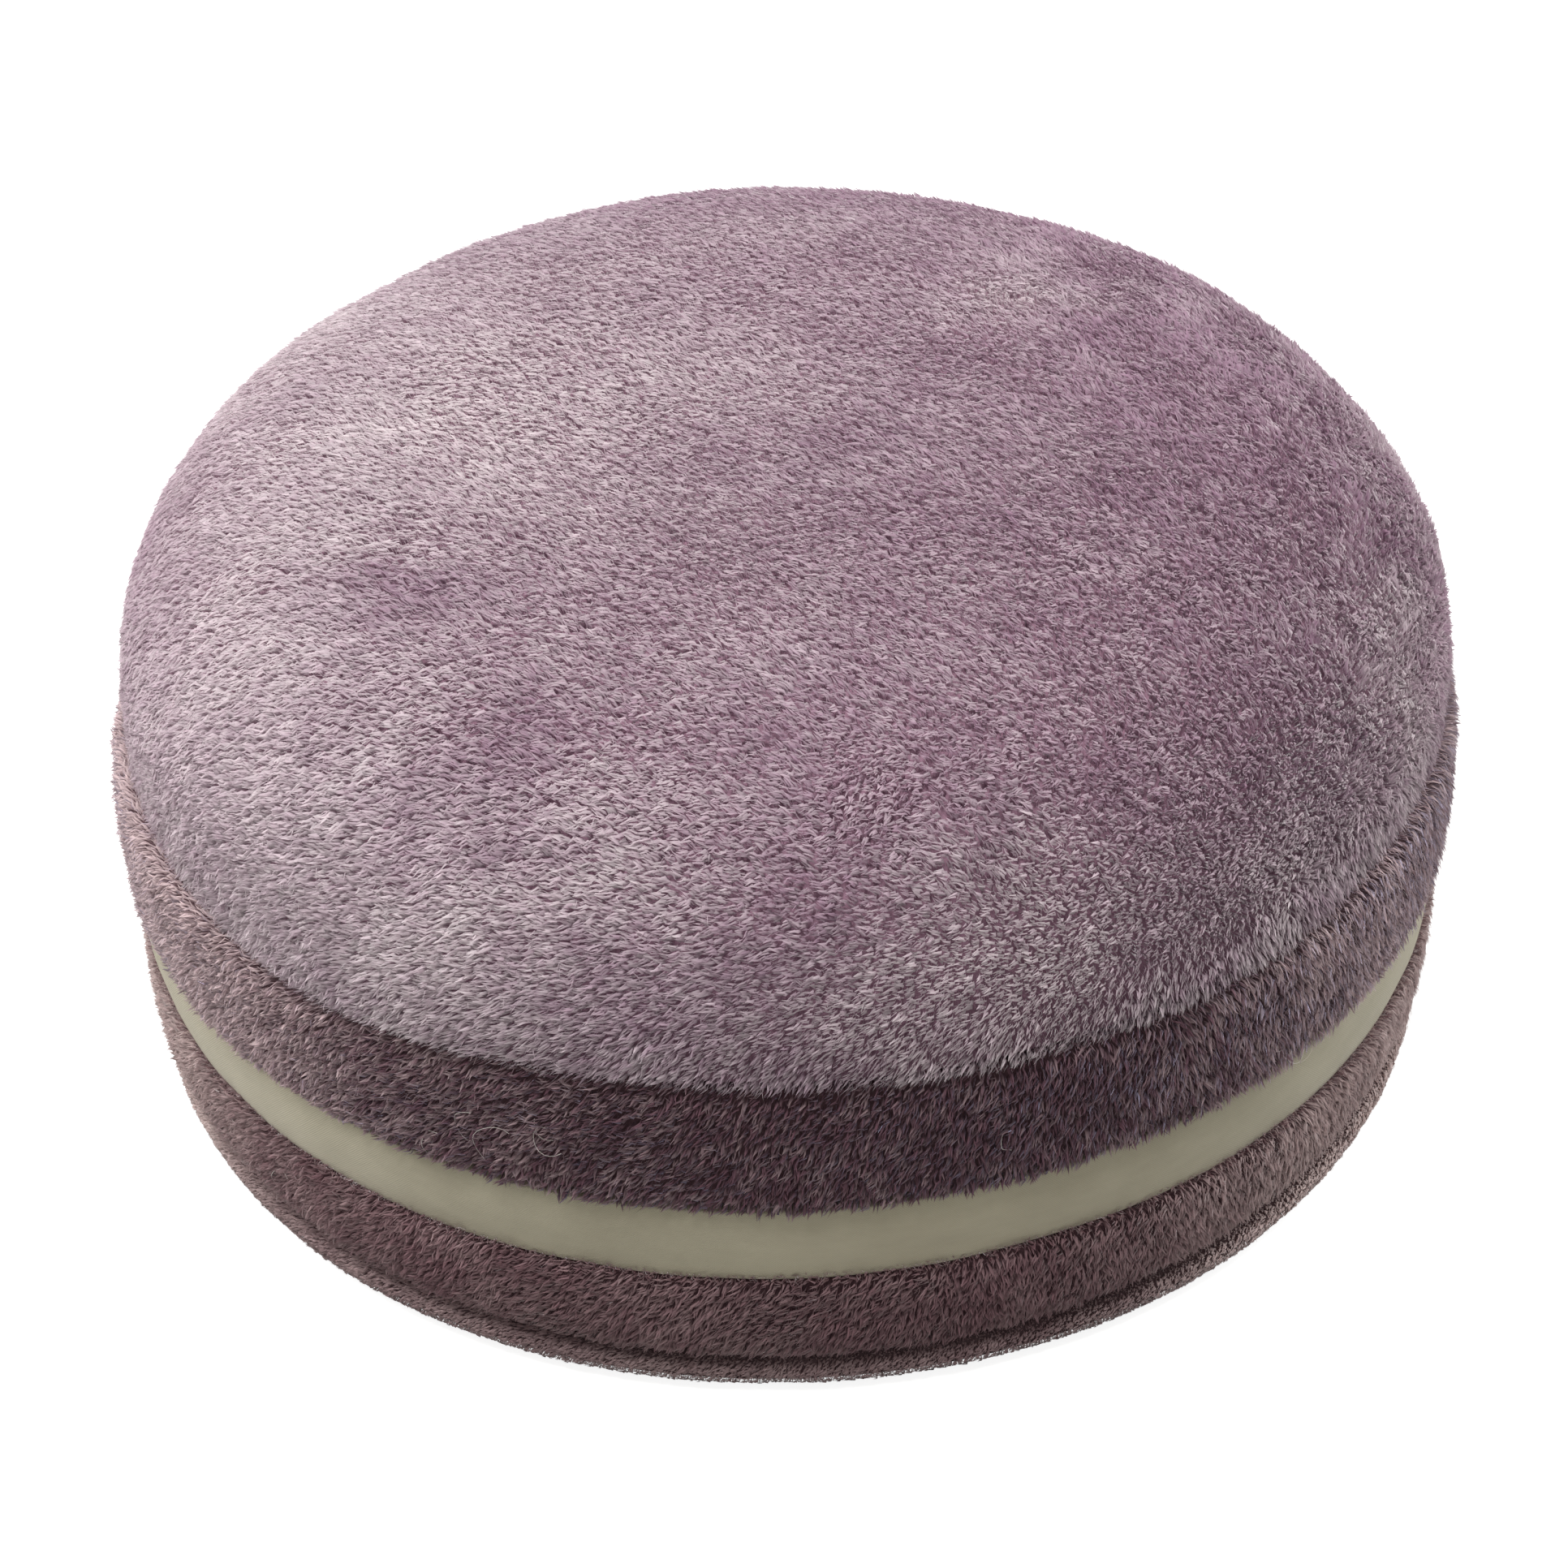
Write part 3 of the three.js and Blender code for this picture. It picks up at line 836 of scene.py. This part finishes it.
def plush_colour_group():
    """A lock's colour, deep or pale by its painted nap light, in painted shade towards its root, each strand
    a little its own.
    """
    group, given, result = new_group(
        "plush_colour", colours=("Root Shade", "Deep", "Pale"), floats=[("Strand Change", 0.40)],
        results=[("Colour", "Color")])
    tip, strand, painted_nap_light = (
        add_node(group, "ShaderNodeAttribute", attribute_name=name).outputs["Fac"]
        for name in ("tip", "strand", "painted_nap_light"))
    surface = mix_colours(group, painted_nap_light, given["Deep"], given["Pale"])
    fade = calculate(group, "POWER", tip, 1.2)
    rooted = mix_colours(group, fade, given["Root Shade"], WHITE)
    colour = mix_colours(group, 1.0, surface, rooted, blend="MULTIPLY")
    change = calculate(group, "SUBTRACT", strand, 0.5)
    change = calculate(group, "MULTIPLY", change, given["Strand Change"])
    shade = calculate(group, "ADD", change, 1.0)
    bright = add_node(group, "ShaderNodeVectorMath", {0: colour, "Scale": shade}, operation="SCALE")
    set_inputs(result, {"Colour": bright.outputs[0]})
    return group


def woven_group():
    """Plain weave: a height of crossing threads, and masks of streaks and of clouds."""
    group, given, result = new_group(
        "woven", floats=[("Threads Per Metre", 1300.0)],
        results=[("Height", "Float"), ("Streak", "Float"), ("Mottle", "Float")])
    place = add_node(group, "ShaderNodeAttribute", attribute_name="cloth_place").outputs["Vector"]
    split = add_node(group, "ShaderNodeSeparateXYZ", {0: place})
    threads = []
    for axis in ("X", "Y"):
        turns = calculate(group, "MULTIPLY", split.outputs[axis], given["Threads Per Metre"])
        threads.append(calculate(group, "SINE", calculate(group, "MULTIPLY", turns, 2 * math.pi)))
    weave = calculate(group, "MULTIPLY", *threads)
    # Streaks are about three times as long as they are high.
    stretched = add_node(group, "ShaderNodeVectorMath", {0: place, 1: (0.35, 1.0, 1.0)}, operation="MULTIPLY")
    streaks = add_node(group, "ShaderNodeTexNoise", {
        "Vector": stretched.outputs[0], "Scale": 260.0, "Detail": 5.0, "Roughness": 0.62})
    clouds = add_node(group, "ShaderNodeTexNoise", {"Vector": place, "Scale": 32.0, "Detail": 2.0})
    set_inputs(result, {"Height": weave, "Streak": streaks.outputs["Fac"], "Mottle": clouds.outputs["Fac"]})
    return group


# Materials.
def new_material(name):
    material = bpy.data.materials.new(name)
    material.use_nodes = True
    tree = material.node_tree
    return material, tree, tree.nodes["Principled BSDF"]


def bumped(tree, height, strength, distance):
    bump = add_node(tree, "ShaderNodeBump", {"Height": height, "Strength": strength, "Distance": distance})
    return bump.outputs["Normal"]


def plush_material(name, plush_colour, root_shade, deep, pale, sheen_tint,
                   see_through=0.42, strand_change=0.45, sheen=0.6):
    material, tree, shader = new_material(name)
    colour = add_node(tree, "ShaderNodeGroup", node_tree=plush_colour, inputs={
        "Root Shade": (*root_shade, 1), "Deep": (*deep, 1), "Pale": (*pale, 1),
        "Strand Change": strand_change}).outputs["Colour"]
    set_inputs(shader, {
        "Base Color": colour, "Roughness": 0.50, "Specular IOR Level": 0.38, "Sheen Weight": sheen,
        "Sheen Roughness": 0.45, "Sheen Tint": (*sheen_tint, 1)})
    # Light soaks through the fine fibres and softens the shade between the locks.
    through = add_node(tree, "ShaderNodeBsdfTranslucent", {"Color": colour})
    both = add_node(tree, "ShaderNodeMixShader", {
        0: see_through, 1: shader.outputs[0], 2: through.outputs[0]})
    set_inputs(tree.nodes["Material Output"], {"Surface": both.outputs[0]})
    return material


def backing_material(name, colour):
    """Knitted backing of the plush, seen only between the locks."""
    material, tree, shader = new_material(name)
    place = add_node(tree, "ShaderNodeTexCoord")
    grain = add_node(tree, "ShaderNodeTexNoise", {
        "Vector": place.outputs["Object"], "Scale": 900.0, "Detail": 3.0}).outputs["Fac"]
    dark = tuple(0.6 * c for c in colour)
    set_inputs(shader, {
        "Base Color": mix_colours(tree, grain, (*dark, 1), (*colour, 1)), "Roughness": 0.9,
        "Normal": bumped(tree, grain, strength=0.6, distance=0.0006)})
    return material


def cream_material(woven):
    """Streaks, clouds and threads shade the cloth from deep to pale cream."""
    deep, pale = (0.345, 0.313, 0.224, 1), (0.445, 0.41, 0.300, 1)
    material, tree, shader = new_material("cream_cloth")
    weave = add_node(tree, "ShaderNodeGroup", node_tree=woven)

    def share_of(output, amount):
        return calculate(tree, "MULTIPLY", weave.outputs[output], amount)

    shade = calculate(tree, "ADD", share_of("Streak", 0.8), share_of("Mottle", 0.9))
    shade = calculate(tree, "SUBTRACT", shade, 0.35)
    shade = calculate(tree, "ADD", shade, share_of("Height", 0.20))
    height = calculate(tree, "ADD", share_of("Height", 0.25), weave.outputs["Streak"])
    set_inputs(shader, {
        "Base Color": mix_colours(tree, shade, deep, pale), "Roughness": 0.8,
        "Specular IOR Level": 0.25, "Sheen Weight": 0.25, "Sheen Roughness": 0.5,
        "Normal": bumped(tree, height, strength=0.55, distance=0.0003)})
    return material


# Camera, at the photograph's angle: a long lens a metre away, a little tilted.
IMAGE_SIDE = 1932
FOCAL_PIXELS = 4069.5
AXIS_PIXEL = (968.8, 908.8)
CAMERA_RISE = math.radians(36.5)
CAMERA_ROLL = -0.0198
CAMERA_AWAY = 1.0
AIM = Vector((0, 0, 0.070))

# Light: a soft lamp overhead, paler light from either side, and an even room.
LAMPS = [
    dict(name="ceiling_light", place=(-0.14, -0.36, 1.94), size=0.8, watts=41, colour=(1.0, 0.99, 0.98)),
    dict(name="left_window", place=(-1.63, 0.48, 0.93), size=0.8, watts=26, colour=(1.0, 0.975, 0.955)),
    dict(name="right_wall", place=(1.55, 0.75, 0.80), size=1.0, watts=22, colour=(1.0, 0.99, 0.97)),
]
ROOM_LIGHT = 0.44
ROOM_COLOUR = (1.0, 0.985, 0.97, 1)
FLOOR_COLOUR = (0.34, 0.34, 0.33, 1)
FLOOR_GLOW = 0.86
FLOOR_REACH = 30.0


def turned_back(way):
    """The turn that points something's back along a way."""
    return way.to_track_quat("Z", "Y").to_matrix().to_4x4()


def place_camera():
    data = bpy.data.cameras.new("camera")
    data.sensor_width = 36
    data.lens = FOCAL_PIXELS / IMAGE_SIDE * data.sensor_width
    data.shift_x = (IMAGE_SIDE / 2 - AXIS_PIXEL[0]) / IMAGE_SIDE
    data.shift_y = (AXIS_PIXEL[1] - IMAGE_SIDE / 2) / IMAGE_SIDE
    data.clip_start = 0.01
    back = Vector((0, -math.cos(CAMERA_RISE), math.sin(CAMERA_RISE)))
    turn = turned_back(back) @ Matrix.Rotation(CAMERA_ROLL, 4, "Z")
    camera = new_piece("camera", data)
    camera.matrix_world = Matrix.Translation(AIM + CAMERA_AWAY * back) @ turn
    bpy.context.scene.camera = camera


def soft_box(name, place, size, watts, colour):
    data = bpy.data.lights.new(name, "AREA")
    data.shape = "DISK"
    data.size = size
    data.energy = watts
    data.color = colour
    place = Vector(place)
    new_piece(name, data).matrix_world = Matrix.Translation(place) @ turned_back(place - AIM)


def camera_sees(tree, seen, otherwise):
    """One shader for the camera and another for the light that bounces."""
    path = tree.nodes.new("ShaderNodeLightPath")
    choice = add_node(tree, "ShaderNodeMixShader", {
        0: path.outputs["Is Camera Ray"], 1: otherwise.outputs[0], 2: seen.outputs[0]})
    return choice.outputs[0]


def light_studio():
    for lamp in LAMPS:
        soft_box(**lamp)
    world = bpy.data.worlds.new("studio")
    world.use_nodes = True
    tree = world.node_tree
    room = tree.nodes["Background"]
    set_inputs(room, {"Color": ROOM_COLOUR, "Strength": ROOM_LIGHT})
    backdrop = add_node(tree, "ShaderNodeBackground", {"Color": WHITE, "Strength": 1.0})
    set_inputs(tree.nodes["World Output"], {"Surface": camera_sees(tree, backdrop, room)})
    bpy.context.scene.world = world
    bpy.context.scene.view_settings.view_transform = "Standard"


def lay_floor():
    """A pale floor: near white to look at, mid grey in the light it throws back."""
    far = FLOOR_REACH
    corners = [(-far, -far, 0), (far, -far, 0), (far, far, 0), (-far, far, 0)]
    mesh = bpy.data.meshes.new("floor")
    mesh.from_pydata(corners, [], [(0, 1, 2, 3)])
    floor = new_piece("floor", mesh)
    material, tree, shader = new_material("pale_floor")
    set_inputs(shader, {"Base Color": FLOOR_COLOUR, "Roughness": 1.0})
    glow = add_node(tree, "ShaderNodeEmission", {"Color": WHITE, "Strength": FLOOR_GLOW})
    both = add_node(tree, "ShaderNodeAddShader", {0: glow.outputs[0], 1: shader.outputs[0]})
    set_inputs(tree.nodes["Material Output"], {"Surface": camera_sees(tree, both, shader)})
    floor.data.materials.append(material)


plush_colour = plush_colour_group()
woven = woven_group()
WARM_SHEEN = (1.0, 0.95, 0.96)
LAVENDER_SHEEN = (0.74, 0.72, 1.0)
top_plush = plush_material(
    "mauve_plush", plush_colour, root_shade=(0.48, 0.36, 0.44), deep=(0.445, 0.290, 0.388),
    pale=(0.835, 0.768, 0.782), sheen_tint=WARM_SHEEN, see_through=0.50, strand_change=0.36)
# The side plush is a darker, warmer copy of the top's mauve: painted shade on the side wall, deepest on the
# upper strip under the crown.
upper_plush = plush_material(
    "mauve_plush_upper", plush_colour, root_shade=(0.32, 0.22, 0.24), deep=(0.205, 0.100, 0.128),
    pale=(0.78, 0.63, 0.63), sheen_tint=LAVENDER_SHEEN, sheen=0.95)
lower_plush = plush_material(
    "mauve_plush_lower", plush_colour, root_shade=(0.42, 0.30, 0.32), deep=(0.285, 0.160, 0.180),
    pale=(0.76, 0.62, 0.60), sheen_tint=WARM_SHEEN, strand_change=0.20)
loose_fibre = plush_material(
    "loose_fibre", plush_colour, root_shade=(0.8, 0.8, 0.8), deep=(0.60, 0.52, 0.50),
    pale=(0.92, 0.88, 0.82), sheen_tint=(1.0, 0.98, 0.95), strand_change=0.1)
backing = backing_material("plush_backing", (0.30, 0.17, 0.23))
# The side and rim backings are darker copies of the plush backing: painted shade between the side locks and
# in the gap under the hem.
side_backing = backing_material("plush_side_backing", (0.10, 0.045, 0.055))
rim_backing = backing_material("plush_rim_backing", (0.13, 0.077, 0.083))
cream = cream_material(woven)

place_camera()
light_studio()
lay_floor()

# The cloth pieces. The top goes on as the filling, down to the bottom disc.
AROUND = 160
FILLING_TOP_Z = TOP_SEAM_Z + 0.0002
FILLING_LOW_Z = LOW_SEAM_Z + 0.0004
BOTTOM_TOP_Z = 0.0111
BOTTOM_RING = 0.100
top_cloth = turned_piece("top_and_filling", TOP_FACE.joined(after=[
    (FILLING_RADIUS, FILLING_TOP_Z), (FILLING_RADIUS, BAND_TOP_Z), (FILLING_RADIUS, BAND_LOW_Z),
    (FILLING_RADIUS, FILLING_LOW_Z), (0.0, FILLING_LOW_Z)]), AROUND)
upper_cloth = turned_piece("upper_strip", UPPER_FACE.ring(), AROUND)
band_cloth = turned_piece("cream_band_cloth", BAND_FACE.ring(), 2 * AROUND, band_creases)
put_cloth_place(band_cloth)
lower_cloth = turned_piece("lower_strip", LOWER_FACE.ring(), AROUND)
bottom_cloth = turned_piece("bottom_disc", FOOT_FACE.joined(
    before=[(0.0, BOTTOM_TOP_Z), (BOTTOM_RING, BOTTOM_TOP_Z)],
    after=[(BOTTOM_RING, 0.0), (0.0, 0.0)]), AROUND)

# The top's pile is one mesh for each third of the way round.
grown = {name: grow(pile) for name, pile in PILES.items()}
TOP_THIRDS = dict(back=(0, 120), left=(120, 240), right=(240, 360))
PILE_NAMES = dict(
    upper="upper_strip_pile", lower="lower_strip_pile", fuzz="band_edge_fuzz", foot="bottom_rim_pile")
pile_pieces = dict(
    top=[pile_mesh("top_pile_" + third, grown["top"], sector_rows(grown["top"], *angles))
         for third, angles in TOP_THIRDS.items()],
    **{name: [pile_mesh(mesh_name, grown[name])] for name, mesh_name in PILE_NAMES.items()},
)
loose = loose_fibres("loose_fibres")
loose.data.materials.append(loose_fibre)
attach(loose, "root")

# What each piece stands for, its finish and its cloth. Each piece takes its cloth and hides the part it
# stands for; the finish is not given to it.
for piece, node, slot, material in (
        (top_cloth, "filled_cushion", "mauve_plush", backing),
        (upper_cloth, "upper_plush_strip", "mauve_plush_side", side_backing),
        (band_cloth, "cream_band", "cream_cloth", cream),
        (lower_cloth, "lower_plush_strip", "mauve_plush_side", side_backing),
        (bottom_cloth, "bottom_panel", "mauve_plush_side", rim_backing)):
    piece.data.materials.append(material)
    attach(piece, "root")
    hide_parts(node)
for name, pieces in pile_pieces.items():
    for piece in pieces:
        piece.data.materials.append(dict(top=top_plush, upper=upper_plush).get(name, lower_plush))
        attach(piece, "root")
